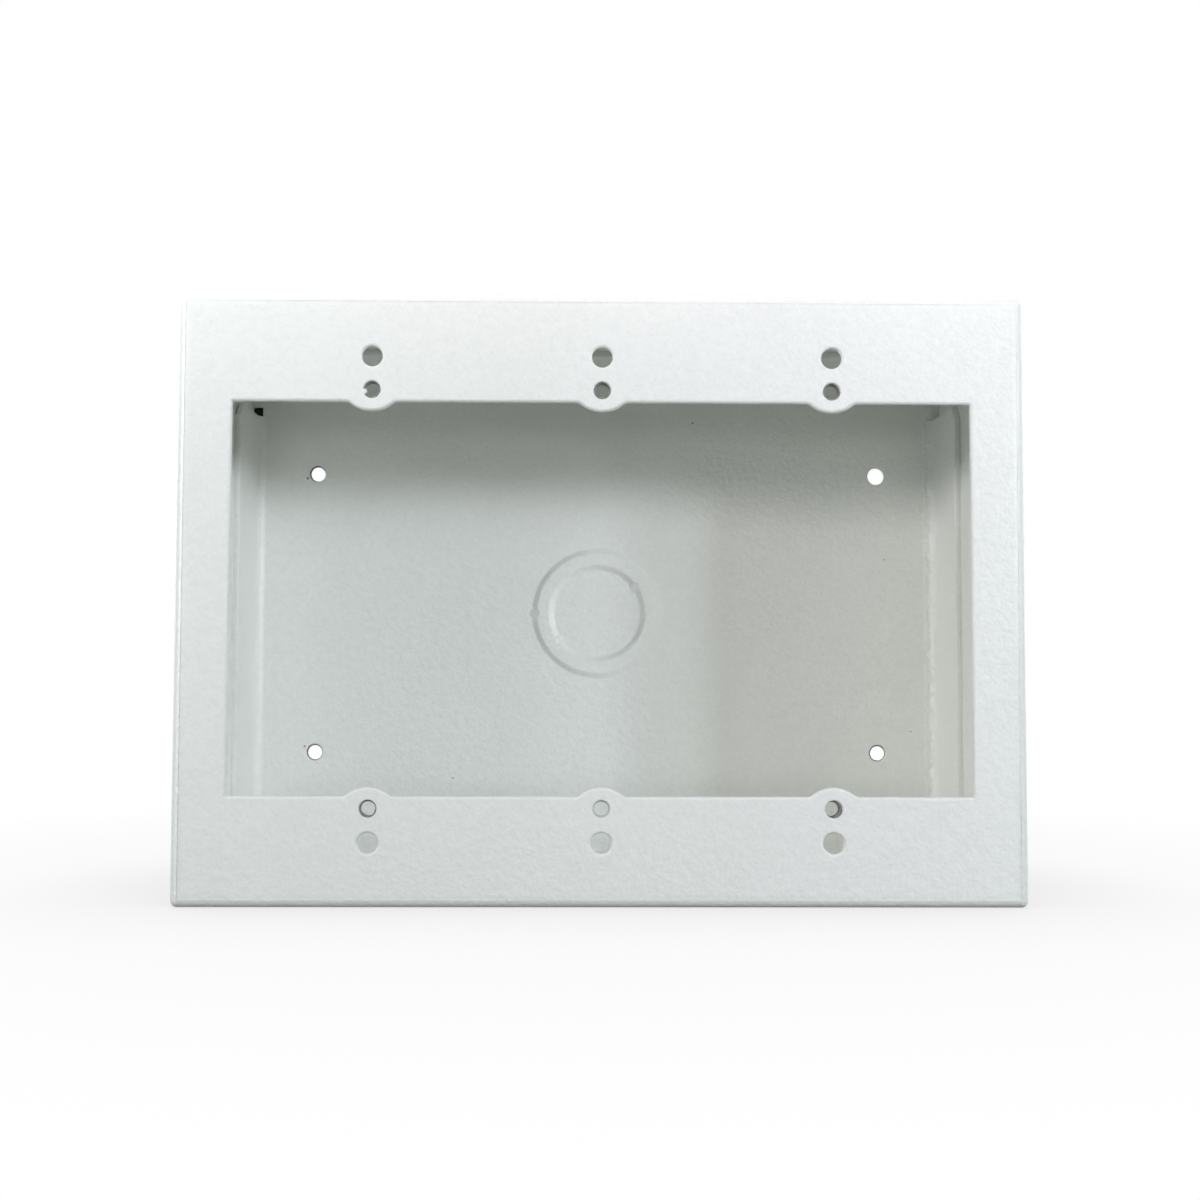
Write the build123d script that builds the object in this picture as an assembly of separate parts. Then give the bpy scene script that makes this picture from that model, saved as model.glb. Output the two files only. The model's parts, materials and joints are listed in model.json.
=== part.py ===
from build123d import *
import os

# Surface mount back box for a row of wiring devices, folded from painted steel sheet.
# Millimetres. The front faces -Y, +X is right and +Z is up.
# The origin is the centre of the back, in the plane that lies against the wall.

# Sheet and folds
sheet = 1.2
face_bend_inside = 0.8  # inside radius of the fold between the face and each wall
pan_bend_inside = 2.0  # inside radius of the fold between the back and each flange
corner_round = 1.2  # welded wall corners, dressed round

# Screw pattern of the device row
gang_count = 3
gang_pitch = 46.04
device_row_spacing = 83.34  # between the upper and lower device screws
plate_row_offset = 6.75  # from a device screw out to the plate screw beside it
device_hole = 3.5
plate_hole = 4.1

# Collar drawn back round each tapped device hole
collar_wall = 0.85
collar_height = 1.6
collar_mouth = 0.35

# Face and window, measured from the screw pattern
side_margin = 38.86  # from the outer gang's centre to the side of the box
row_margin = 12.68  # from a plate screw to the top or bottom of the box
box_depth = 69.85
window_side = 27.8  # from the outer gang's centre to the side of the window
window_row = 2.47  # from a device screw in to the edge of the window
lobe_radius = 6.6
lobe_tip = 4.32  # from a device screw to the tip of the lobe that carries it
lobe_blend = 1.2

# Back pan, nested in the shell and welded to its walls
pan_clearance = 0.3
flange_height = 22.2
flange_end = 11.9  # from the pan's corner to the end of each flange
flange_corner_cut = 3.0
relief_width = 2.2  # notch at each end of a fold
relief_depth = 1.9
fixing_hole = 4.0
fixing_side = 16.9  # from the side of the box to the fixing holes
fixing_row = 27.4  # from the top or bottom of the box to the fixing holes

# Concentric knockout in the middle of the back
knockout_small = 22.2
knockout_ring = 4.0  # from the small circle out to the large circle
knockout_lift = 0.8  # how far the ring stands into the box
knockout_slope = 1.2  # width of the half-sheared step at each circle
tie_width = 1.5
tie_length = 2.4
large_tie_angles = (0, 180)
small_tie_angles = (36, 216)

# Sizes that follow
gang_span = gang_pitch * (gang_count - 1)
gangs = [i * gang_pitch - gang_span / 2 for i in range(gang_count)]
plate_row_spacing = device_row_spacing + 2 * plate_row_offset
box_width = gang_span + 2 * side_margin
box_height = plate_row_spacing + 2 * row_margin
window_width = gang_span + 2 * window_side
window_height = device_row_spacing - 2 * window_row
pan_width = box_width - 2 * (sheet + pan_clearance)
pan_height = box_height - 2 * (sheet + pan_clearance)
pan_fold = pan_bend_inside + sheet

# Sketch planes seen from the front, with the face's outside and the back's wall side at zero
face_plane = Plane(origin=(0, -box_depth, 0), x_dir=(1, 0, 0), z_dir=(0, -1, 0))
back_plane = Plane(origin=(0, 0, 0), x_dir=(1, 0, 0), z_dir=(0, -1, 0))


def screw_points(row_spacing):
    return [(x, side * row_spacing / 2) for x in gangs for side in (1, -1)]


def folded_walls():
    # The face with four walls folded back from it, open towards the wall
    outside = extrude(Rectangle(box_width, box_height), -box_depth)
    outside = fillet(outside.edges().filter_by(Axis.Z), corner_round)
    outside = fillet(outside.faces().sort_by(Axis.Z)[-1].edges(), face_bend_inside + sheet)
    inside = extrude(Rectangle(box_width - 2 * sheet, box_height - 2 * sheet), -box_depth)
    inside = Pos(0, 0, -sheet) * inside
    inside = fillet(inside.faces().sort_by(Axis.Z)[-1].edges(), face_bend_inside)
    return outside - inside


def window_outline():
    # A rectangle with a lobe left standing at each device screw, blended into the straight edge
    lobe_centre = device_row_spacing / 2 - lobe_tip + lobe_radius
    outline = Rectangle(window_width, window_height)
    for x in gangs:
        for side in (1, -1):
            outline -= Pos(x, side * lobe_centre) * Circle(lobe_radius)
    feet = [v for v in outline.vertices() if abs(v.X) < window_width / 2 - lobe_blend]
    return fillet(feet, lobe_blend)


def tapped_collar():
    # Sheet drawn back round a device screw, with a rounded mouth at the face
    bore = device_hole / 2
    collar = extrude(Circle(bore + collar_wall) - Circle(bore), -sheet - collar_height)
    mouth = collar.edges().filter_by(GeomType.CIRCLE).group_by(Axis.Z)[-1].sort_by(SortBy.RADIUS)[0]
    return fillet(mouth, collar_mouth)


def front_shell():
    shell = folded_walls()
    shell -= extrude(window_outline(), -2 * sheet)
    plate_hole_cut = extrude(Circle(plate_hole / 2), -2 * sheet)
    for x, y in screw_points(plate_row_spacing):
        shell -= Pos(x, y) * plate_hole_cut
    collar = tapped_collar()
    collar_seat = extrude(Circle(device_hole / 2 + collar_wall), -2 * sheet)
    for x, y in screw_points(device_row_spacing):
        shell -= Pos(x, y) * collar_seat
        shell += Pos(x, y) * collar
    return face_plane * shell


def pan_sides():
    # Turn about the box's depth, distance to the pan's edge and length along it, for each side
    half_sizes = (pan_width / 2, pan_height / 2, pan_width / 2, pan_height / 2)
    lengths = (pan_height, pan_width, pan_height, pan_width)
    return [(90 * i, half_sizes[i], lengths[i] - 2 * flange_end) for i in range(4)]


def flange(edge, length):
    # A quarter bend up from the back, then straight to the free edge with both corners cut
    section = make_face(
        [
            CenterArc((edge - pan_fold, pan_fold), pan_fold, -90, 90),
            Line((edge, pan_fold), (edge, flange_height)),
            Line((edge, flange_height), (edge - sheet, flange_height)),
            Line((edge - sheet, flange_height), (edge - sheet, pan_fold)),
            CenterArc((edge - pan_fold, pan_fold), pan_bend_inside, -90, 90),
            Line((edge - pan_fold, sheet), (edge - pan_fold, 0)),
        ]
    )
    upright = Plane(origin=(0, length / 2, 0), x_dir=(1, 0, 0), z_dir=(0, -1, 0))
    solid = extrude(upright * section, length)
    free_edge = solid.faces().sort_by(Axis.Z)[-1]
    return chamfer(free_edge.edges().filter_by(Axis.X), flange_corner_cut)


def flat_back():
    # Flat of the pan, cut back where a flange folds up and notched at both ends of each fold
    outline = Rectangle(pan_width, pan_height)
    for turn, edge, length in pan_sides():
        outline -= Rot(0, 0, turn) * Pos(edge - pan_fold / 2, 0) * Rectangle(pan_fold, length)
        for end in (1, -1):
            notch = Pos(edge - relief_depth / 2, end * (length + relief_width) / 2)
            outline -= Rot(0, 0, turn) * notch * Rectangle(relief_depth, relief_width)
    return extrude(outline, sheet)


def knockout_rings():
    # Half section through the sheet, turned about the knockout's centre: the ring between the
    # two circles is half-sheared into the box and the middle stays level with the back
    small = knockout_small / 2
    large = small + knockout_ring
    step = knockout_slope / 2
    section = Polygon(
        (0, 0),
        (small - step, 0),
        (small + step, knockout_lift),
        (large - step, knockout_lift),
        (large + step, 0),
        (large + step, sheet),
        (large - step, sheet + knockout_lift),
        (small + step, sheet + knockout_lift),
        (small - step, sheet),
        (0, sheet),
        align=None,
    )
    return revolve(Plane.XZ * section, Axis.Z)


def tie(radius, rise_outwards):
    # Uncut strap across one circle, sloping gently between the two levels, and the room it takes
    inner = radius - tie_length / 2
    outer = radius + tie_length / 2
    low_end, high_end = (inner, outer) if rise_outwards else (outer, inner)
    strap = Polygon(
        (low_end, 0),
        (high_end, knockout_lift),
        (high_end, sheet + knockout_lift),
        (low_end, sheet),
        align=None,
    )
    room = Pos((inner + outer) / 2, 0, sheet) * Box(tie_length, tie_width, 4 * sheet)
    return extrude(Plane.XZ * strap, tie_width / 2, both=True), room


def add_ties(pan, radius, angles, rise_outwards):
    strap, room = tie(radius, rise_outwards)
    for angle in angles:
        pan -= Rot(0, 0, angle) * room
        pan += Rot(0, 0, angle) * strap
    return pan


def back_pan():
    pan = flat_back()
    for turn, edge, length in pan_sides():
        pan += Rot(0, 0, turn) * flange(edge, length)
    small = knockout_small / 2
    large = small + knockout_ring
    pan -= extrude(Circle(large + knockout_slope / 2), sheet)
    pan += knockout_rings()
    pan = add_ties(pan, small, small_tie_angles, True)
    pan = add_ties(pan, large, large_tie_angles, False)
    fixing_cut = extrude(Circle(fixing_hole / 2), sheet)
    for across in (1, -1):
        for up in (1, -1):
            place = Pos(across * (box_width / 2 - fixing_side), up * (box_height / 2 - fixing_row))
            pan -= place * fixing_cut
    return back_plane * pan


os.makedirs("parts", exist_ok=True)
export_step(front_shell(), "parts/front_shell.step")
export_step(back_pan(), "parts/back_pan.step")
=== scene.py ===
import json
import math

import bmesh
import bpy
from mathutils import Matrix, Vector


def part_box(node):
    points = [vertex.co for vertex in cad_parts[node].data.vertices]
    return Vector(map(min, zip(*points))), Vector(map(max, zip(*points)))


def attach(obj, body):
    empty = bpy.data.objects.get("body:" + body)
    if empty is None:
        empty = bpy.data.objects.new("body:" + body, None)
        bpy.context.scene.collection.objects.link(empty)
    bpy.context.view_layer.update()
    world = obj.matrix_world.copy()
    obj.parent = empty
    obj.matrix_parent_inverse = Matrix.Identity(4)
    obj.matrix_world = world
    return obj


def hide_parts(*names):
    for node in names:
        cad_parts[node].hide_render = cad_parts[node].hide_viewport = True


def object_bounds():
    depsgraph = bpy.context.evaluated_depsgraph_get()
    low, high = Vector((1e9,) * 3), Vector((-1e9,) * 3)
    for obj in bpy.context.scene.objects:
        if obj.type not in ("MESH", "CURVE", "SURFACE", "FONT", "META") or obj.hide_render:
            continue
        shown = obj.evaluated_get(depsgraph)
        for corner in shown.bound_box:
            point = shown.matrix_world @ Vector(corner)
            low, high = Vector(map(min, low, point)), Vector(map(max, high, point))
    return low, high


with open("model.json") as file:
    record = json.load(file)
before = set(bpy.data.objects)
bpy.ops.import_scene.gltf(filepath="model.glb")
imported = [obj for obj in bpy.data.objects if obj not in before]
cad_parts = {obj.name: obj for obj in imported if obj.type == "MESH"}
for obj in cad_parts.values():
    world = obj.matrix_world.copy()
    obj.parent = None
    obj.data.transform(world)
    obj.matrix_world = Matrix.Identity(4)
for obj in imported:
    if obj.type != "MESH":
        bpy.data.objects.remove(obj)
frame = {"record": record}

cadLow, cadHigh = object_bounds()
mm = 0.001
quarterTurn = math.pi / 2

# Hole patterns, as the record gives them
patterns = {mount["name"]: mount["dims"] for mount in frame["record"]["mounts"]}
gangPitch = patterns["device_screws_outer"]["spacing_x_mm"] / 2 * mm
deviceRow = patterns["device_screws_outer"]["spacing_y_mm"] / 2 * mm
plateRow = patterns["plate_screws_outer"]["spacing_y_mm"] / 2 * mm
deviceBore = patterns["device_screws_outer"]["hole_r_mm"] * mm
plateBore = patterns["plate_screws_outer"]["hole_r_mm"] * mm
fixingBore = patterns["wall_fixing_holes"]["hole_r_mm"] * mm
fixingAcross = patterns["wall_fixing_holes"]["spacing_x_mm"] / 2 * mm
fixingUp = patterns["wall_fixing_holes"]["spacing_y_mm"] / 2 * mm
gangs = [-gangPitch, 0, gangPitch]
shellLow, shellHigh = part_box("front_shell")
panLow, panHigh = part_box("back_pan")
sheet = 1.2 * mm
faceFront = shellLow.y  # outside of the face
faceInside = faceFront + sheet
samePlace = 0.01 * mm  # points closer than this count as one place
mergeGap = 0.002 * mm
holeSides = 64
holeSlack = 0.1 * mm  # how far from a bore its edges are looked for


def setDown():  # object mode, nothing selected
    if bpy.context.object and bpy.context.object.mode != "OBJECT":
        bpy.ops.object.mode_set(mode="OBJECT")
    bpy.ops.object.select_all(action="DESELECT")


def takeUp(piece):  # the one piece selected and active
    setDown()
    piece.select_set(True)
    bpy.context.view_layer.objects.active = piece


def keepPlace(name):  # names what was just added and puts its place into its mesh
    made = bpy.context.object
    made.name = name
    made.data.name = name
    bpy.ops.object.transform_apply(location=True, rotation=True, scale=True)
    return made


def near(a, b):
    return abs(a - b) < samePlace


def corners(part):
    return [v.co for v in getattr(part, "verts", [part])]


def middle(part):
    spots = corners(part)
    return sum(spots, Vector()) / len(spots)


def pick(kind, test):  # in edit mode, selects what passes the test and nothing else
    bpy.ops.mesh.select_mode(type=kind)
    bpy.ops.mesh.select_all(action="DESELECT")
    mesh = bmesh.from_edit_mesh(bpy.context.object.data)
    for part in {"VERT": mesh.verts, "EDGE": mesh.edges, "FACE": mesh.faces}[kind]:
        if test(part):
            part.select_set(True)
    mesh.select_flush_mode()
    bmesh.update_edit_mesh(bpy.context.object.data)


def edit(piece):
    takeUp(piece)
    bpy.ops.object.mode_set(mode="EDIT")


def pull(x, y, z):  # extrudes what is selected
    bpy.ops.mesh.extrude_region_move(TRANSFORM_OT_translate={"value": (x, y, z)})


def sweep(steps, angle, centre, axis):  # spins what is selected, by the right-hand rule
    bpy.ops.mesh.spin(steps=steps, angle=-angle, center=centre, axis=axis)


def mergeDoubles():
    bpy.ops.mesh.select_all(action="SELECT")
    bpy.ops.mesh.remove_doubles(threshold=mergeGap)


def closeUp():  # merges doubles and turns the faces outwards
    mergeDoubles()
    bpy.ops.mesh.normals_make_consistent(inside=False)
    bpy.ops.object.mode_set(mode="OBJECT")


def finishWith(piece, kind, **settings):  # adds a modifier and applies it
    takeUp(piece)
    change = piece.modifiers.new(kind.lower(), kind)
    for name, value in settings.items():
        setattr(change, name, value)
    bpy.ops.object.modifier_apply(modifier=change.name)


def carve(piece, tool, how):
    finishWith(piece, "BOOLEAN", operation=how, solver="EXACT", object=tool)
    bpy.data.objects.remove(tool)


def block(name, low, high):
    setDown()
    bpy.ops.mesh.primitive_cube_add(size=1, location=(low + high) / 2)
    bpy.context.object.scale = high - low
    return keepPlace(name)


def joined(pieces, lead):  # one object made of them all, under the lead's name
    setDown()
    for piece in pieces:
        piece.select_set(True)
    bpy.context.view_layer.objects.active = lead
    bpy.ops.object.join()
    return lead


def pegs(name, places, radius, nearY, farY):  # round bars along the depth, joined in one tool
    made = []
    for x, z in places:
        setDown()
        spot = (x, (nearY + farY) / 2, z)
        bpy.ops.mesh.primitive_cylinder_add(vertices=holeSides, radius=radius, depth=farY - nearY,
                                            location=spot, rotation=(quarterTurn, 0, 0))
        made.append(keepPlace(name))
    return joined(made, made[-1])


def copied(piece, name, move):  # a copy with its own mesh, moved by so much
    takeUp(piece)
    bpy.ops.object.duplicate(linked=False)
    bpy.ops.transform.translate(value=move)
    return keepPlace(name)


def uneven(cuts, shift, seed):  # in edit mode, cuts up all faces and shifts their corners a little
    bpy.ops.mesh.select_all(action="SELECT")
    if cuts:
        bpy.ops.mesh.subdivide(number_cuts=cuts)
    bpy.ops.mesh.select_all(action="SELECT")
    bpy.ops.transform.vertex_random(offset=shift, uniform=0.6, normal=0.4, seed=seed)


# Soft edges that a coat of powder leaves on every cut, and smooth shading over the bends
coatEdge = {"round": 0.28 * mm, "lip": 0.70 * mm, "tapped": 0.26 * mm, "hole": 0.55 * mm, "steps": 4,
            "sharper": math.radians(25), "smooth": math.radians(30), "crease": math.radians(12)}


def coatEdges(piece, special):  # special pairs a rounding with a test of where an edge lies
    widest = coatEdge["lip"]

    def turns(edge, angle):
        return edge.is_manifold and edge.calc_face_angle(0) > angle

    edit(piece)
    pick("EDGE", lambda e: turns(e, coatEdge["sharper"]))
    bpy.ops.transform.edge_bevelweight(value=coatEdge["round"] / widest)
    for rounding, inPlace in special:
        pick("EDGE", lambda e: turns(e, coatEdge["sharper"]) and inPlace(middle(e)))
        bpy.ops.transform.edge_bevelweight(value=(rounding - coatEdge["round"]) / widest)
    finishWith(piece, "BEVEL", width=widest, segments=coatEdge["steps"], limit_method="WEIGHT",
               use_clamp_overlap=False, loop_slide=False, miter_outer="MITER_ARC")
    bpy.ops.object.shade_smooth_by_angle(angle=coatEdge["smooth"])
    edit(piece)
    for rounding, inPlace in special:
        if rounding == 0:
            pick("EDGE", lambda e: turns(e, coatEdge["crease"]) and inPlace(middle(e)))
            bpy.ops.mesh.mark_sharp()
    finishWith(piece, "WEIGHTED_NORMAL", keep_sharp=True, weight=50)


# Front shell: a face with four walls folded back from it
shellForm = {"bend": 2.0 * mm, "corner": 1.2 * mm, "bendSteps": 8, "insideBend": 0.8 * mm}
windowForm = {"side": 27.8 * mm, "row": 2.47 * mm, "lobe": 6.6 * mm, "lobeTip": 4.32 * mm,
              "blend": 1.2 * mm, "arcSteps": 24, "blendSteps": 6}
collarForm = {"wall": 0.85 * mm, "height": 1.6 * mm, "flare": 0.45 * mm, "flareSteps": 4}


def foldedBlock():
    piece = block("shellBody", shellLow, shellHigh)
    edit(piece)
    pick("EDGE", lambda e: all(near(p.y, shellLow.y) for p in corners(e)))
    bpy.ops.transform.edge_bevelweight(value=1)
    pick("EDGE", lambda e: near(corners(e)[0].x, corners(e)[1].x) and near(corners(e)[0].z, corners(e)[1].z))
    bpy.ops.transform.edge_bevelweight(value=shellForm["corner"] / shellForm["bend"])
    finishWith(piece, "BEVEL", width=shellForm["bend"], segments=shellForm["bendSteps"], limit_method="WEIGHT")
    wall = Vector((sheet, sheet, sheet))
    hollow = block("hollowTool", shellLow + wall, shellHigh - wall + Vector((0, 4 * sheet, 0)))
    edit(hollow)
    pick("EDGE", lambda e: all(near(p.y, faceInside) for p in corners(e)))
    bpy.ops.mesh.bevel(offset=shellForm["insideBend"], segments=shellForm["bendSteps"], affect="EDGES")
    carve(piece, hollow, "DIFFERENCE")
    return piece


def drawLobe(x, side, edge):  # takes out a stretch of the window's edge and draws the lobe in its place
    blend, lobe = windowForm["blend"], windowForm["lobe"]
    centre = deviceRow - windowForm["lobeTip"] + lobe - edge  # from the window's edge to the lobe's centre
    turn = math.acos((centre + blend) / (lobe + blend))
    reach = (lobe + blend) * math.sin(turn)
    for end in (-reach, reach):
        bpy.ops.mesh.select_all(action="SELECT")
        bpy.ops.mesh.bisect(plane_co=(x + end, 0, 0), plane_no=(1, 0, 0))
    level = side * edge
    pick("EDGE", lambda e: near(middle(e).x, x) and all(near(p.z, level) for p in corners(e)))
    bpy.ops.mesh.delete(type="EDGE")
    pick("VERT", lambda v: near(v.co.x, x - reach) and near(v.co.z, level))
    arcs = ((x - reach, level - side * blend, turn, windowForm["blendSteps"]),
            (x, level + side * centre, -2 * turn, windowForm["arcSteps"]),
            (x + reach, level - side * blend, turn, windowForm["blendSteps"]))
    for acrossAt, upAt, angle, steps in arcs:
        sweep(steps, side * angle, (acrossAt, faceFront, upAt), (0, 1, 0))


def windowTool():
    wide = gangPitch + windowForm["side"]
    edge = deviceRow - windowForm["row"]
    setDown()
    bpy.ops.mesh.primitive_plane_add(size=2, location=(0, faceFront - sheet, 0), rotation=(quarterTurn, 0, 0))
    bpy.context.object.scale = (wide, edge, 1)
    tool = keepPlace("windowTool")
    edit(tool)
    bpy.ops.mesh.delete(type="ONLY_FACE")
    for x in gangs:
        for side in (1, -1):
            drawLobe(x, side, edge)
    mergeDoubles()
    bpy.ops.mesh.edge_face_add()
    pull(0, 4 * sheet, 0)
    closeUp()
    return tool


def collars():  # sheet drawn back round each tapped hole, flared where it leaves the face
    outer = deviceBore + collarForm["wall"]
    flare, flareSteps = collarForm["flare"], collarForm["flareSteps"]
    setDown()
    bpy.ops.mesh.primitive_circle_add(vertices=holeSides, radius=outer + flare, fill_type="NGON",
                                      location=(0, faceInside - sheet / 2, 0), rotation=(quarterTurn, 0, 0))
    collar = keepPlace("collar")
    edit(collar)
    bpy.ops.mesh.select_all(action="SELECT")
    pull(0, sheet / 2, 0)
    width, deep = outer + flare, 0
    for i in range(flareSteps):
        angle = quarterTurn * (i + 1) / flareSteps
        newWidth = outer + flare * (1 - math.sin(angle))
        newDeep = flare * (1 - math.cos(angle))
        pull(0, newDeep - deep, 0)
        ratio = newWidth / width
        bpy.ops.transform.resize(value=(ratio, 1, ratio), center_override=(0, 0, 0))
        width, deep = newWidth, newDeep
    pull(0, collarForm["height"] - deep, 0)
    closeUp()
    made = [copied(collar, "collarTool", (x, 0, z)) for x in gangs for z in (deviceRow, -deviceRow)]
    bpy.data.objects.remove(collar)
    return joined(made, made[-1])


def frontShell():
    piece = foldedBlock()
    carve(piece, windowTool(), "DIFFERENCE")
    carve(piece, collars(), "UNION")
    rows = {deviceRow: deviceBore, plateRow: plateBore}
    for row, bore in rows.items():
        places = [(x, side * row) for x in gangs for side in (1, -1)]
        carve(piece, pegs("holeTool", places, bore, faceFront - sheet, faceFront + 5 * sheet), "DIFFERENCE")

    def atHole(spot, row):
        return any(math.hypot(spot.x - x, abs(spot.z) - row) < rows[row] + holeSlack for x in gangs)

    def atLip(spot):
        inWindow = abs(spot.x) < gangPitch + windowForm["side"] + sheet and abs(spot.z) < deviceRow
        return near(spot.y, faceFront) and inWindow and not atHole(spot, deviceRow)

    coatEdges(piece, [(coatEdge["tapped"], lambda p: atHole(p, deviceRow)),
                      (coatEdge["hole"], lambda p: atHole(p, plateRow) and near(p.y, faceFront)),
                      (coatEdge["lip"], atLip)])
    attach(piece, "root")
    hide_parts("front_shell")
    print("front shell:", len(piece.data.polygons), "faces")
    return piece


# Back pan: a flat back with a flange folded up from each side, notched at the ends of the folds
panForm = {"fold": 3.2 * mm, "foldSteps": 10, "flangeEnd": 11.9 * mm, "cornerCut": 3.0 * mm,
           "relief": 2.2 * mm, "reliefDepth": 1.9 * mm}
knockoutForm = {"small": 11.1 * mm, "ring": 4.0 * mm, "lift": 0.8 * mm, "slope": 1.2 * mm, "sink": 0.2 * mm,
                "steps": 180, "tieWidth": 1.5 * mm, "tieLength": 2.4 * mm,
                "largeTies": (0, 180), "smallTies": (36, 216)}


def foldedPan():
    wide, high = panHigh.x, panHigh.z
    fold, flangeEnd = panForm["fold"], panForm["flangeEnd"]
    relief, reliefDepth = panForm["relief"], panForm["reliefDepth"]
    setDown()
    bpy.ops.mesh.primitive_plane_add(size=2, location=(0, panHigh.y, 0), rotation=(-quarterTurn, 0, 0))
    bpy.context.object.scale = (wide, high, 1)
    piece = keepPlace("panBody")
    edit(piece)
    for inset in (fold, reliefDepth, flangeEnd, flangeEnd - relief):
        for side in (1, -1):
            for axis, half in ((Vector((1, 0, 0)), wide), (Vector((0, 0, 1)), high)):
                bpy.ops.mesh.select_all(action="SELECT")
                bpy.ops.mesh.bisect(plane_co=axis * side * (half - inset), plane_no=axis)

    def cutAway(face):
        spot = middle(face)
        inX, inZ = wide - abs(spot.x), high - abs(spot.z)  # in from the nearest sides
        for toEdge, along in ((inX, inZ), (inZ, inX)):
            if toEdge < fold and along > flangeEnd:
                return True
            if toEdge < reliefDepth and flangeEnd - relief < along < flangeEnd:
                return True
        return False

    pick("FACE", cutAway)
    bpy.ops.mesh.delete(type="FACE")
    sides = ((Vector((1, 0, 0)), wide, (0, 0, 1), -1), (Vector((-1, 0, 0)), wide, (0, 0, 1), 1),
             (Vector((0, 0, 1)), high, (1, 0, 0), 1), (Vector((0, 0, -1)), high, (1, 0, 0), -1))
    for out, half, axis, sense in sides:
        line = half - fold
        other = high if out.x else wide
        pick("EDGE", lambda e: all(near(p.dot(out), line) for p in corners(e))
             and abs(middle(e).z if out.x else middle(e).x) < other - flangeEnd)
        centre = out * line + Vector((0, panHigh.y - fold, 0))
        sweep(panForm["foldSteps"], sense * quarterTurn, centre, axis)
        pull(0, panLow.y - panHigh.y + fold, 0)
        pick("VERT", lambda v: near(v.co.y, panLow.y) and near(v.co.dot(out), half)
             and near(abs(v.co.z if out.x else v.co.x), other - flangeEnd))
        bpy.ops.mesh.bevel(offset=panForm["cornerCut"], segments=1, affect="VERTICES")
    bpy.ops.object.mode_set(mode="OBJECT")
    finishWith(piece, "SOLIDIFY", thickness=sheet, offset=-1, use_even_offset=True, use_quality_normals=True)
    return piece


def atAngle(spot, angle, width):  # whether a point of the knockout lies in the strap at that angle
    out = Vector((math.cos(math.radians(angle)), 0, math.sin(math.radians(angle))))
    acrossStrap = (spot - out * spot.dot(out)).xz.length
    return spot.dot(out) > 0 and acrossStrap < width / 2


def knockoutTool(level):  # the half-sheared ring as a solid that starts a little below the given level
    lift, slope, ring, sink = (knockoutForm[k] for k in ("lift", "slope", "ring", "sink"))
    mid = knockoutForm["small"] + ring / 2
    steep = slope / lift
    top, base = (ring - slope) / 2, (ring + slope) / 2 + sink * steep
    setDown()
    spot = (mid, level - (lift - sink) / 2, 0)
    bpy.ops.mesh.primitive_plane_add(size=2, location=spot)
    bpy.context.object.scale = (base, (lift + sink) / 2, 1)
    tool = keepPlace("knockoutTool")
    edit(tool)
    crest, foot = level - lift, level + sink
    pick("VERT", lambda v: near(v.co.y, crest))
    bpy.ops.transform.resize(value=(top / base, 1, 1), center_override=spot)
    bpy.ops.mesh.select_all(action="SELECT")
    bpy.ops.mesh.delete(type="ONLY_FACE")
    bpy.ops.mesh.select_all(action="SELECT")
    sweep(knockoutForm["steps"], 2 * math.pi, (0, level, 0), (0, 1, 0))
    mergeDoubles()
    tieWidth, halfTie = knockoutForm["tieWidth"], knockoutForm["tieLength"] / 2
    tieSink = sink * knockoutForm["tieLength"] / lift
    straps = [(angle, 1, knockoutForm["small"] + ring) for angle in knockoutForm["largeTies"]]
    straps += [(angle, -1, knockoutForm["small"]) for angle in knockoutForm["smallTies"]]
    for angle, outward, circle in straps:
        moves = ((crest, mid + outward * top, circle - outward * halfTie),
                 (foot, mid + outward * base, circle + outward * (halfTie + tieSink)))
        for height, before, after in moves:
            pick("VERT", lambda v: near(v.co.y, height) and near(v.co.xz.length, before)
                 and atAngle(v.co, angle, tieWidth))
            bpy.ops.transform.resize(value=(after / before, 1, after / before), center_override=(0, level, 0))
    closeUp()
    return tool


def backPan():
    piece = foldedPan()
    carve(piece, knockoutTool(panHigh.y - sheet), "UNION")
    carve(piece, knockoutTool(panHigh.y), "DIFFERENCE")
    places = [(x, z) for x in (fixingAcross, -fixingAcross) for z in (fixingUp, -fixingUp)]
    carve(piece, pegs("holeTool", places, fixingBore, panHigh.y - 2 * sheet, panHigh.y + sheet), "DIFFERENCE")
    holeEdge = fixingBore + holeSlack
    ringMiddle = knockoutForm["small"] + knockoutForm["ring"] / 2

    def atHole(spot):
        return any(math.hypot(spot.x - x, spot.z - z) < holeEdge for x, z in places)

    def atStrap(spot):
        out = spot.xz.length
        angles = knockoutForm["largeTies" if out > ringMiddle else "smallTies"]
        return out < 2 * ringMiddle and any(atAngle(spot, a, 2 * knockoutForm["tieWidth"]) for a in angles)

    coatEdges(piece, [(coatEdge["tapped"], atHole), (0, atStrap)])  # the straps are too narrow to round
    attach(piece, "root")
    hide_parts("back_pan")
    print("back pan:", len(piece.data.polygons), "faces")
    return piece


# Thread in the tapped holes: one ridge that winds back from the face, left bare
threadForm = {"pitch": 0.79 * mm, "crest": 1.42 * mm, "root": 1.80 * mm, "foot": 0.66 * mm, "flat": 0.14 * mm,
              "turns": 2.4, "steps": 44, "start": 0.55 * mm, "drift": -0.28 * mm}


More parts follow.
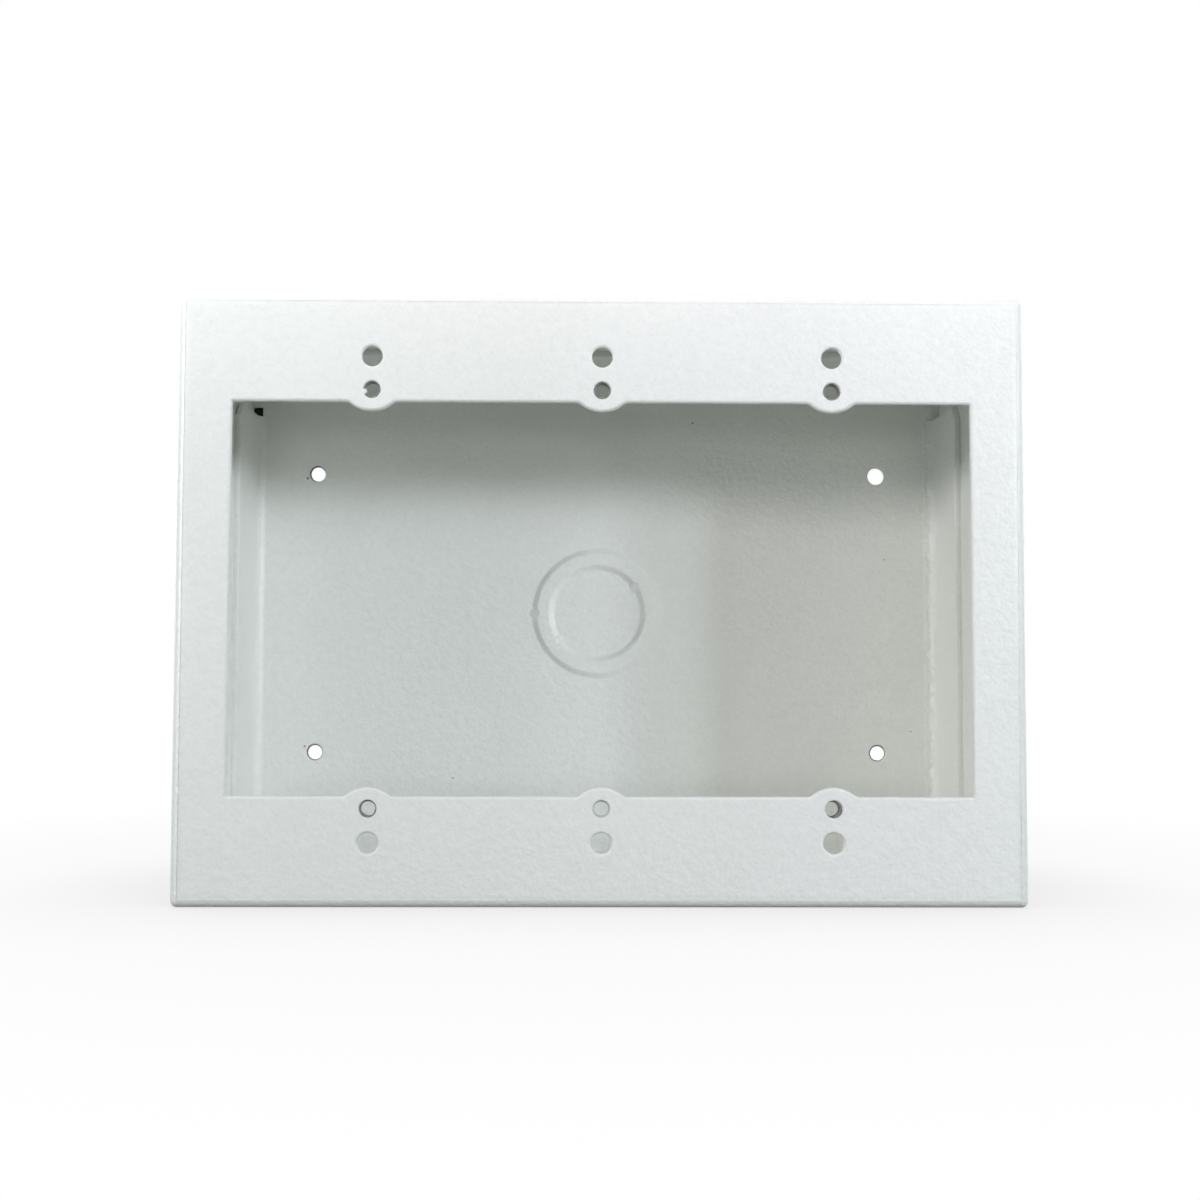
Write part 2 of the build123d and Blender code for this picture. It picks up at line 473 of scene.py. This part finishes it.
def threads():
    crest, root, turns = threadForm["crest"], threadForm["root"], threadForm["turns"]
    setDown()
    bpy.ops.mesh.primitive_plane_add(size=1, location=((crest + root) / 2, 0, 0))
    bpy.context.object.scale = (root - crest, threadForm["foot"], 1)
    ridge = keepPlace("ridge")
    edit(ridge)
    pick("VERT", lambda v: near(v.co.x, crest))
    bpy.ops.transform.resize(value=(1, threadForm["flat"] / threadForm["foot"], 1), center_override=(0, 0, 0))
    bpy.ops.mesh.select_all(action="SELECT")
    bpy.ops.mesh.delete(type="ONLY_FACE")
    steps = int(turns * threadForm["steps"])
    finishWith(ridge, "SCREW", axis="Y", angle=2 * math.pi * turns, screw_offset=threadForm["pitch"] * turns,
               steps=steps, render_steps=steps)
    edit(ridge)
    bpy.ops.mesh.select_all(action="SELECT")
    bpy.ops.mesh.fill_holes(sides=0)
    closeUp()
    bpy.ops.object.shade_smooth_by_angle(angle=coatEdge["smooth"])
    made = []
    for i, x in enumerate(gangs):
        for row, z in (("Upper", deviceRow), ("Lower", -deviceRow)):
            drift = threadForm["drift"] if (i, row) == (2, "Lower") else 0  # this one was tapped off centre
            move = (x + drift, faceFront + threadForm["start"], z)
            made.append(copied(ridge, "thread" + row + str(i + 1), move))
    bpy.data.objects.remove(ridge)
    for piece in made:
        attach(piece, "root")
    print("threads:", len(made))
    return made


# Welds that close the notches at the ends of the folds: a root under a painted cap. One notch has no cap, and its
# root is coloured near black as painted shade, for the dark gap in that notch
weldForm = {"root": Vector((3.1, 0.4, 3.1)) * mm, "rootDeep": 0.42 * mm, "rootSeed": 3,
            "cap": Vector((2.9, 0.7, 2.9)) * mm, "capDeep": 0.90 * mm, "capSeed": 8, "capShift": 0.25 * mm,
            "capRound": 0.12 * mm, "cuts": 3, "rough": 0.05 * mm}


def notchSpots():  # middle of each notch, and the way out to the pan's corner
    wide, high = panHigh.x - panForm["reliefDepth"] / 2, panHigh.z - panForm["reliefDepth"] / 2
    endX = panHigh.x - panForm["flangeEnd"] + panForm["relief"] / 2
    endZ = panHigh.z - panForm["flangeEnd"] + panForm["relief"] / 2
    ways = [(x, z) for x in (-1, 1) for z in (1, -1)]
    return [(x * wide, z * endZ, x, z) for x, z in ways] + [(x * endX, z * high, x, z) for x, z in ways]


def weldBead(name, size, seed):
    bead = block(name, size / -2, size / 2)
    edit(bead)
    uneven(weldForm["cuts"], weldForm["rough"], seed)
    bpy.ops.object.mode_set(mode="OBJECT")
    return bead


def welds():
    root = weldBead("root", weldForm["root"], weldForm["rootSeed"])
    cap = weldBead("cap", weldForm["cap"], weldForm["capSeed"])
    finishWith(cap, "BEVEL", width=weldForm["capRound"], segments=2, limit_method="ANGLE",
               angle_limit=coatEdge["smooth"])
    bpy.ops.object.shade_smooth()
    shift = weldForm["capShift"]
    roots, caps = [], []
    for i, (x, z, outX, outZ) in enumerate(notchSpots()):
        roots.append(copied(root, "weldRoot" + str(i + 1), (x, panHigh.y - weldForm["rootDeep"], z)))
        if i:  # the first notch, at the upper left, is the one without a cap
            spot = (x + outX * shift, panHigh.y - weldForm["capDeep"], z + outZ * shift)
            caps.append(copied(cap, "weldCap" + str(i + 1), spot))
    bpy.data.objects.remove(root)
    bpy.data.objects.remove(cap)
    # the uncapped root takes the near-black painted shade, the others take the coat
    bare, painted = roots[:1], roots[1:] + caps
    for piece in bare + painted:
        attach(piece, "root")
    print("welds:", len(roots), "roots and", len(caps), "caps")
    return bare, painted


# Paint that has run into the joints between the pan and the walls: along the flanges' free edges, and behind,
# along the pan's corners
seamForm = {"wide": 0.7 * mm, "front": 0.15 * mm, "deep": 1.2 * mm, "back": 0.9 * mm, "cuts": 9, "rough": 0.03 * mm,
            "round": 0.15 * mm, "overlap": 0.3 * mm, "openCorner": (-1, 1),  # no paint at the upper left flange end
            "seeds": {"upright": 11, "level": 12, "slanted": 15, "tabUpright": 13, "tabLevel": 14}}


def seamBar(size, seed):
    bar = block("seamBar", size / -2, size / 2)
    finishWith(bar, "BEVEL", width=seamForm["round"], segments=2)
    edit(bar)
    uneven(seamForm["cuts"], seamForm["rough"], seed)
    bpy.ops.object.mode_set(mode="OBJECT")
    bpy.ops.object.shade_smooth_by_angle(angle=coatEdge["smooth"])
    return bar


def seams():
    gapX, gapZ = (panHigh.x + shellHigh.x - sheet) / 2, (panHigh.z + shellHigh.z - sheet) / 2
    wide, deep, back, overlap = (seamForm[k] for k in ("wide", "deep", "back", "overlap"))
    frontAt, backAt = panLow.y + seamForm["front"] + deep / 2, panHigh.y - sheet / 2
    cut = panForm["cornerCut"]
    flangeX, flangeZ = (half - panForm["flangeEnd"] - cut for half in (panHigh.x, panHigh.z))
    tab = panForm["flangeEnd"] - panForm["relief"] + overlap
    tabX, tabZ = panHigh.x - tab / 2 + overlap / 2, panHigh.z - tab / 2 + overlap / 2
    slant = 1.5 * cut  # along the cut corner and a little over
    sizes = {"upright": (wide, deep, 2 * flangeZ), "level": (2 * flangeX, deep, wide),
             "slanted": (wide, deep, slant), "tabUpright": (wide, back, tab), "tabLevel": (tab, back, wide)}
    bars = {name: seamBar(Vector(size), seamForm["seeds"][name]) for name, size in sizes.items()}
    made = []
    for side in (1, -1):
        made.append(copied(bars["upright"], "seamPaint", (side * gapX, frontAt, 0)))
        made.append(copied(bars["level"], "seamPaint", (0, frontAt, side * gapZ)))
        for end in (1, -1):
            if (side, end) != seamForm["openCorner"]:
                copied(bars["slanted"], "seamPaint", (0, 0, 0))
                bpy.ops.transform.rotate(value=end * math.pi / 4, orient_axis="X", center_override=(0, 0, 0))
                bpy.ops.transform.translate(value=(side * gapX, frontAt + cut / 2, end * (flangeZ + cut / 2)))
                made.append(keepPlace("seamPaint"))
            made.append(copied(bars["tabUpright"], "seamPaint", (side * gapX, backAt, end * tabZ)))
            made.append(copied(bars["tabLevel"], "seamPaint", (end * tabX, backAt, side * gapZ)))
    for bar in bars.values():
        bpy.data.objects.remove(bar)
    joined(made, made[0])
    piece = keepPlace("seamPaint")
    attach(piece, "root")
    print("seams:", len(piece.data.polygons), "faces")
    return piece


# Thin rings at the wall side of three of the fixing holes, narrowing them a little; their dark steel is painted shade
# of the bores. The upper right hole has none
shadeRimForm = {"middle": 1.90 * mm, "thick": 0.19 * mm, "deep": 0.30 * mm, "across": 56, "round": 10,
            "rough": 0.03 * mm, "seed": 5, "drift": 0.06 * mm, "corners": ((-1, 1), (-1, -1), (1, -1))}


def holeShadeRims():
    setDown()
    bpy.ops.mesh.primitive_torus_add(major_radius=shadeRimForm["middle"], minor_radius=shadeRimForm["thick"],
                                     major_segments=shadeRimForm["across"], minor_segments=shadeRimForm["round"],
                                     rotation=(quarterTurn, 0, 0))
    ring = keepPlace("ring")
    edit(ring)
    uneven(0, shadeRimForm["rough"], shadeRimForm["seed"])
    bpy.ops.object.mode_set(mode="OBJECT")
    bpy.ops.object.shade_smooth()
    made = []
    drift = shadeRimForm["drift"]
    for i, (x, z) in enumerate(shadeRimForm["corners"]):
        spot = (x * fixingAcross + drift, panHigh.y - shadeRimForm["deep"], z * fixingUp - drift)
        made.append(copied(ring, "holeShadeRim" + str(i + 1), spot))
    bpy.data.objects.remove(ring)
    for piece in made:
        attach(piece, "root")
    print("hole burrs:", len(made))
    return made


# Drop of paint that stands in the mouth of the upper left tapped hole
dropForm = {"place": Vector((-47.45, -69.68, 41.25)) * mm, "size": (0.50, 0.34, 0.56), "detail": 3,
            "rough": 0.05 * mm, "seed": 2, "levels": 1}


def paintDrop():
    setDown()
    bpy.ops.mesh.primitive_ico_sphere_add(subdivisions=dropForm["detail"], radius=mm, location=dropForm["place"])
    bpy.context.object.scale = dropForm["size"]
    piece = keepPlace("paintDrop")
    edit(piece)
    uneven(0, dropForm["rough"], dropForm["seed"])
    bpy.ops.object.mode_set(mode="OBJECT")
    finishWith(piece, "SUBSURF", levels=dropForm["levels"], render_levels=dropForm["levels"])
    bpy.ops.object.shade_smooth()
    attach(piece, "root")
    print("paint drop")
    return piece


# Materials
class Wire:  # one socket of a material's tree, with sums written as Python
    def __init__(self, tree, socket=None):
        self.tree, self.socket = tree, socket

    def node(self, kind, settings=None, sockets=None, out=0):
        made = self.tree.nodes.new(kind)
        for name, value in (settings or {}).items():
            setattr(made, name, value)
        for name, value in (sockets or {}).items():
            if isinstance(value, Wire):
                self.tree.links.new(value.socket, made.inputs[name])
            else:
                made.inputs[name].default_value = value
        return Wire(self.tree, made.outputs[out] if made.outputs else None)

    def output(self, name):  # another output of the same node
        return Wire(self.tree, self.socket.node.outputs[name])

    def maths(self, how, a, b=0.0):
        return self.node("ShaderNodeMath", {"operation": how}, {0: a, 1: b})

    def __add__(self, other): return self.maths("ADD", self, other)
    def __radd__(self, other): return self.maths("ADD", other, self)
    def __sub__(self, other): return self.maths("SUBTRACT", self, other)
    def __rsub__(self, other): return self.maths("SUBTRACT", other, self)
    def __mul__(self, other): return self.maths("MULTIPLY", self, other)
    def __rmul__(self, other): return self.maths("MULTIPLY", other, self)


def newFinish(name):
    material = bpy.data.materials.new(name)
    material.use_nodes = True
    tree = material.node_tree
    tree.nodes.clear()
    return material, Wire(tree)


def noise(wire, where, perMetre, detail, rough):
    return wire.node("ShaderNodeTexNoise", {"noise_dimensions": "3D"},
                     {"Vector": where, "Scale": perMetre, "Detail": detail, "Roughness": rough})


def within(wire, value, inner, outer):  # one up to the inner value, none past the outer one
    return wire.node("ShaderNodeMapRange", {"interpolation_type": "SMOOTHSTEP"},
                     {"Value": value, "From Min": inner, "From Max": outer, "To Min": 1.0, "To Max": 0.0})


def blended(wire, share, under, over):  # from one colour to the other
    return wire.node("ShaderNodeMix", {"data_type": "RGBA"}, {"Factor": share, 6: under, 7: over}, out=2)


def distance(wire, where, place):
    return wire.node("ShaderNodeVectorMath", {"operation": "DISTANCE"}, {0: where, 1: place}, out="Value")


# White powder coat: fine grain over a coarser peel and a slow wave, a little mottled
coat = {"pale": (0.945, 0.960, 0.921, 1), "deep": (0.897, 0.914, 0.874, 1), "speck": (0.20, 0.20, 0.19, 1),
        "rough": 0.38, "roughSpread": 0.14, "ior": 1.5, "patch": 26,
        "grain": 1500, "grainDepth": 0.068 * mm, "peel": 620, "peelDepth": 0.14 * mm,
        "wave": 120, "waveDepth": 0.09 * mm, "patchShare": 0.4, "peelShare": 0.3, "grainShare": 0.5,
        "mottleFrom": 0.48, "mottleTo": 0.72, "speckBlur": 0.2 * mm, "speckCore": 0.4}
# Beads of coat along the inside of the right fold
foldBeads = {"x": 80.8 * mm, "y": -1.7 * mm, "wide": (0.5 * mm, 1.6 * mm), "thick": (0.7 * mm, 1.2 * mm),
             "depth": 0.40 * mm}
# Dark spots in the coat: place and radius, in millimetres. Most are dirt; the one at the upper right notch is painted
# shade for a pinhole, and the two beside the left fixing holes are painted shade at the holes
dirtAndShadeSpecks = [((23.2, -1.2, 46.6), 0.45), ((69.8, -1.2, 13.3), 0.35), ((-81.6, -2.4, -26.5), 0.45),
          ((-34.6, -1.2, -39.8), 0.35), ((76.1, -1.2, -28.4), 0.35), ((81.3, -1.3, 47.7), 0.40),
          ((-70.4, -1.2, 32.6), 0.60), ((-70.4, -1.2, -32.3), 0.45)]


def powderCoat():
    material, wire = newFinish("powderCoat")
    where = wire.node("ShaderNodeTexCoord", out="Object")
    grain = noise(wire, where, coat["grain"], 1, 0.5)
    peel = noise(wire, where, coat["peel"], 1, 0.5)
    wave = noise(wire, where, coat["wave"], 1, 0.4)
    patch = noise(wire, where, coat["patch"], 3, 0.6)
    mottle = patch * coat["patchShare"] + peel * coat["peelShare"] + grain * coat["grainShare"]
    shade = wire.node("ShaderNodeMapRange", {},
                      {"Value": mottle, "From Min": coat["mottleFrom"], "From Max": coat["mottleTo"]})
    colour = blended(wire, shade, coat["deep"], coat["pale"])
    # dark spots: dirt, with painted shade at a pinhole and beside two fixing holes
    dirtAndShade = 0.0
    for place, radius in dirtAndShadeSpecks:
        gap = distance(wire, where, [c * mm for c in place]) + peel * coat["speckBlur"]
        dirtAndShade = within(wire, gap, radius * coat["speckCore"] * mm, radius * mm) + dirtAndShade
    colour = blended(wire, dirtAndShade, colour, coat["speck"])
    x = wire.node("ShaderNodeSeparateXYZ", {}, {0: where})
    y = x.output("Y")
    atFold = within(wire, wire.maths("ABSOLUTE", x - foldBeads["x"]), *foldBeads["wide"])
    atFold = atFold * within(wire, wire.maths("ABSOLUTE", y - foldBeads["y"]), *foldBeads["thick"])
    rough = peel * coat["roughSpread"] + (coat["rough"] - coat["roughSpread"] / 2)
    height = grain * coat["grainDepth"] + peel * coat["peelDepth"] + wave * coat["waveDepth"]
    height = height + atFold * peel * foldBeads["depth"]
    bump = wire.node("ShaderNodeBump", {}, {"Strength": 1.0, "Distance": 1.0, "Height": height})
    shader = wire.node("ShaderNodeBsdfPrincipled", {},
                       {"Base Color": colour, "Roughness": rough, "Normal": bump, "IOR": coat["ior"]})
    wire.node("ShaderNodeOutputMaterial", {}, {"Surface": shader})
    print("powder coat:", len(dirtAndShadeSpecks), "dirtAndShadeSpecks")
    return material


# Bare metal: threads and the rings at the fixing holes are ground bright in places; on the rings the dark steel is
# painted shade of the bores. The open weld root's near-black finish is painted shade
steel = {"threadSteel": {"dark": (0.07, 0.07, 0.07, 1), "pale": (0.42, 0.42, 0.41, 1), "rough": 0.40},
         # near black for the open weld root: painted shade
         "paintedShadeSteel": {"dark": (0.006, 0.006, 0.006, 1), "pale": (0.03, 0.03, 0.03, 1), "rough": 0.60}}
steelGrain = {"perMetre": 900, "roughSpread": 0.2, "bump": 0.5, "depth": 0.05 * mm, "gloss": 0.3}
# Coat that has dusted one of the lower threads
dusted = {"place": (0, -69 * mm, -41.67 * mm), "reach": 3 * mm, "colour": (0.62, 0.63, 0.60, 1)}


def steelAndShadeFinish(name):
    form = steel[name]
    material, wire = newFinish(name)
    where = wire.node("ShaderNodeTexCoord", out="Object")
    grain = noise(wire, where, steelGrain["perMetre"], 3, 0.6)
    dust = within(wire, distance(wire, where, dusted["place"]), dusted["reach"], 2 * dusted["reach"])
    colour = blended(wire, dust, blended(wire, grain, form["dark"], form["pale"]), dusted["colour"])
    bump = wire.node("ShaderNodeBump", {},
                     {"Strength": steelGrain["bump"], "Distance": steelGrain["depth"], "Height": grain})
    rough = grain * steelGrain["roughSpread"] + form["rough"]
    shader = wire.node("ShaderNodeBsdfPrincipled", {}, {"Base Color": colour, "Roughness": rough, "Normal": bump,
                                                      "Specular IOR Level": steelGrain["gloss"]})
    wire.node("ShaderNodeOutputMaterial", {}, {"Surface": shader})
    print("bare steel:", name)
    return material


# Camera, as the photograph was taken: just below the middle and looking slightly up
cameraForm = {"place": (-5.0 * mm, -379.35 * mm, -16.35 * mm), "up": 2.965, "right": 0.862, "roll": 0.16,
              "lens": 46.8, "sensor": 36, "nearest": 0.01}


def addCamera():
    setDown()
    bpy.ops.object.camera_add(location=cameraForm["place"])
    camera = bpy.context.object
    tilt = Matrix.Rotation(quarterTurn + math.radians(cameraForm["up"]), 4, "X")
    swing = Matrix.Rotation(-math.radians(cameraForm["right"]), 4, "Z")
    lean = Matrix.Rotation(math.radians(cameraForm["roll"]), 4, "Z")
    camera.rotation_euler = (swing @ tilt @ lean).to_euler()
    camera.data.lens = cameraForm["lens"]
    camera.data.sensor_width = cameraForm["sensor"]
    camera.data.clip_start = cameraForm["nearest"]
    bpy.context.scene.camera = camera
    print("camera")


# Soft light: lamps from both sides a little above the middle, small ones close to the face, and one above and two
# behind for the top and the back. Those without an aim point at the middle of the box
boxMiddle = (0, -0.05, 0)
lamps = {
    "right": {"place": (0.578, -0.789, 0.149), "size": (0.1, 0.1), "power": 1.18, "colour": (0.911, 0.947, 1.0)},
    "farRight": {"place": (0.677, -0.704, 0.132), "size": (0.1, 0.1), "power": 1.15, "colour": (0.855, 0.918, 1.0)},
    "nearRight": {"place": (0.296, -0.335, 0.087), "size": (0.09, 0.09), "power": 0.53, "colour": (0.89, 0.939, 1.0)},
    "front": {"place": (0.13, -0.973, 0.181), "size": (0.19, 0.19), "power": 0.15, "colour": (1.0, 0.95, 0.97)},
    "lowFront": {"place": (0, -0.99, -0.02), "size": (0.19, 0.06), "power": 0.4, "colour": (0.97, 1.0, 0.97)},
    "left": {"place": (-0.678, -0.705, 0.116), "size": (0.19, 0.19), "power": 0.43, "colour": (0.9, 0.896, 1.0)},
    "farLeft": {"place": (-0.78, -0.576, 0.132), "size": (0.1, 0.1), "power": 2.88, "colour": (1.0, 0.977, 0.964)},
    "nearLeft": {"place": (-0.17, -0.12, 0), "size": (0.05, 0.22), "power": 0.034, "colour": (0.831, 1.0, 0.962),
                 "aim": (-0.06, -0.07, 0)},
    "top": {"place": (0, -0.1, 0.1), "size": (0.24, 0.03), "power": 0.031, "colour": (1.0, 0.91, 0.97),
            "aim": (0, -0.07, 0.045)},
    "upperLeft": {"place": (-0.15, -0.12, 0.1), "size": (0.06, 0.1), "power": 0.028, "colour": (0.83, 0.97, 1.0),
                  "aim": (-0.06, -0.07, 0.04)},
    "above": {"place": (0, 0.5, 1.1), "size": (0.8, 0.8), "power": 3.4, "colour": (1, 1, 1)},
    "behindLeft": {"place": (-0.6, 0.75, 0.35), "size": (0.8, 0.8), "power": 2.8, "colour": (1, 1, 1)},
    "behindRight": {"place": (0.6, 0.75, 0.35), "size": (0.8, 0.8), "power": 2.8, "colour": (1, 1, 1)},
}


def addLamps():
    for name, lamp in lamps.items():
        setDown()
        bpy.ops.object.light_add(type="AREA", location=lamp["place"])
        made = bpy.context.object
        made.name = name + "Lamp"
        way = Vector(lamp.get("aim", boxMiddle)) - Vector(lamp["place"])
        made.rotation_euler = way.to_track_quat("-Z", "Y").to_euler()
        made.data.shape = "RECTANGLE"
        made.data.size, made.data.size_y = lamp["size"]
        made.visible_camera = False
        made.data.energy = lamp["power"]
        made.data.color = lamp["colour"]
    print("lamps:", len(lamps))


# White ground all round, and a floor that keeps a faint shadow close to the box
room = {"white": (1, 1, 1, 1), "black": (0, 0, 0, 1), "floor": (0.10, 0.10, 0.10, 1), "floorSize": 8,
        "floorShadow": 0.05, "shadowFrom": 0.26, "shadowTo": 0.10, "contact": 0.05, "contactShadow": 0.25}


def paperRays(wire):  # the rays that see the white ground itself
    path = wire.node("ShaderNodeLightPath")
    rays = path.output("Is Camera Ray") + path.output("Is Glossy Ray") + path.output("Is Transmission Ray")
    return wire.maths("MINIMUM", rays, 1.0)


def addRoom():
    world = bpy.data.worlds.new("room")
    bpy.context.scene.world = world
    world.use_nodes = True
    world.node_tree.nodes.clear()
    wire = Wire(world.node_tree)
    paper = wire.node("ShaderNodeBackground", {}, {"Color": room["white"], "Strength": paperRays(wire)})
    wire.node("ShaderNodeOutputWorld", {}, {"Surface": paper})
    setDown()
    bpy.ops.mesh.primitive_plane_add(size=room["floorSize"], location=(0, 0, cadLow.z))
    floor = keepPlace("floor")
    material, wire = newFinish("paleFloor")
    matt = wire.node("ShaderNodeBsdfDiffuse", {}, {"Color": room["floor"]})
    clear = wire.node("ShaderNodeAmbientOcclusion", {"samples": 8}, {"Distance": room["contact"]}, out="AO")
    shade = blended(wire, room["contactShadow"] * (1 - clear), room["white"], room["black"])
    paper = wire.node("ShaderNodeEmission", {}, {"Color": shade})
    where = wire.node("ShaderNodeTexCoord", out="Object")
    away = wire.node("ShaderNodeVectorMath", {"operation": "LENGTH"}, {0: where}, out="Value")
    close = within(wire, away, room["shadowTo"], room["shadowFrom"])
    seen = paperRays(wire) * (1 - close * room["floorShadow"])
    mixed = wire.node("ShaderNodeMixShader", {}, {0: seen, 1: matt, 2: paper})
    wire.node("ShaderNodeOutputMaterial", {}, {"Surface": mixed})
    floor.data.materials.append(material)
    print("room")


def paint(pieces, material):
    for piece in pieces:
        piece.data.materials.clear()
        piece.data.materials.append(material)


paintedShadeWelds, paintedWelds = welds()
paint([frontShell(), backPan(), seams(), paintDrop()] + paintedWelds, powderCoat())
# threads in bare steel; the rings at the fixing holes take the same steel as painted shade
paint(threads() + holeShadeRims(), steelAndShadeFinish("threadSteel"))
# the open weld root, near black as painted shade
paint(paintedShadeWelds, steelAndShadeFinish("paintedShadeSteel"))
addCamera()
addLamps()
addRoom()
bpy.context.scene.view_settings.view_transform = "Standard"
print("scene ready")
